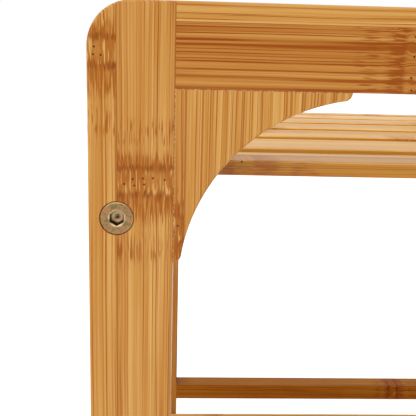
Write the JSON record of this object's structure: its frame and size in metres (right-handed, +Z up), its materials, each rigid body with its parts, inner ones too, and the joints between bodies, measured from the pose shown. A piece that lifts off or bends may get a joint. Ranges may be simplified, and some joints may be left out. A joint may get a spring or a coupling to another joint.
{
  "type": "entryway bench",
  "caption": "Small laminated-bamboo entryway bench with a slatted seat between raised end frames with curved brackets, and a slatted shoe shelf below.",
  "frame": {"origin": "on the floor, under the middle of the bench", "axes": "+X to the right along the length, -Y to the front, +Z up"},
  "size_m": [0.48, 0.36, 0.46],
  "materials": {
    "bamboo_frame": "satin lacquer, grain along each piece",
    "bamboo_bracket": "satin lacquer, fine upright grain",
    "bamboo_long_rail": "satin lacquer",
    "bamboo_slat": "satin lacquer",
    "bolt_zinc": "yellow zinc plating, lightly tarnished",
    "nut_steel": "bright zinc plating",
    "dowel_wood": "raw beech",
    "screw_steel": "bright zinc plating",
    "foot_rubber": "matt"
  },
  "bodies": {
    "root": {"right_front_leg": "bamboo_frame", "right_rear_leg": "bamboo_frame", "left_front_leg": "bamboo_frame", "left_rear_leg": "bamboo_frame", "right_top_rail": "bamboo_frame", "left_top_rail": "bamboo_frame", "right_lower_rail": "bamboo_frame", "left_lower_rail": "bamboo_frame", "right_front_bracket": "bamboo_bracket", "right_rear_bracket": "bamboo_bracket", "left_front_bracket": "bamboo_bracket", "left_rear_bracket": "bamboo_bracket", "seat_front_rail": "bamboo_long_rail", "seat_rear_rail": "bamboo_long_rail", "shelf_front_rail": "bamboo_long_rail", "shelf_rear_rail": "bamboo_long_rail", "seat_slat_1": "bamboo_slat", "seat_slat_2": "bamboo_slat", "seat_slat_3": "bamboo_slat", "seat_slat_4": "bamboo_slat", "seat_slat_5": "bamboo_slat", "seat_slat_6": "bamboo_slat", "seat_slat_7": "bamboo_slat", "shelf_slat_1": "bamboo_slat", "shelf_slat_2": "bamboo_slat", "shelf_slat_3": "bamboo_slat", "shelf_slat_4": "bamboo_slat", "shelf_slat_5": "bamboo_slat", "shelf_slat_6": "bamboo_slat", "shelf_slat_7": "bamboo_slat", "seat_bolts": "bolt_zinc", "shelf_bolts": "bolt_zinc", "seat_barrel_nuts": "nut_steel", "shelf_barrel_nuts": "nut_steel", "rail_locating_dowels": "dowel_wood", "frame_dowels": "dowel_wood", "bracket_dowels": "dowel_wood", "seat_slat_screws": "screw_steel", "shelf_slat_screws": "screw_steel", "right_front_foot_pad": "foot_rubber", "right_rear_foot_pad": "foot_rubber", "left_front_foot_pad": "foot_rubber", "left_rear_foot_pad": "foot_rubber"}
  },
  "joints": []
}
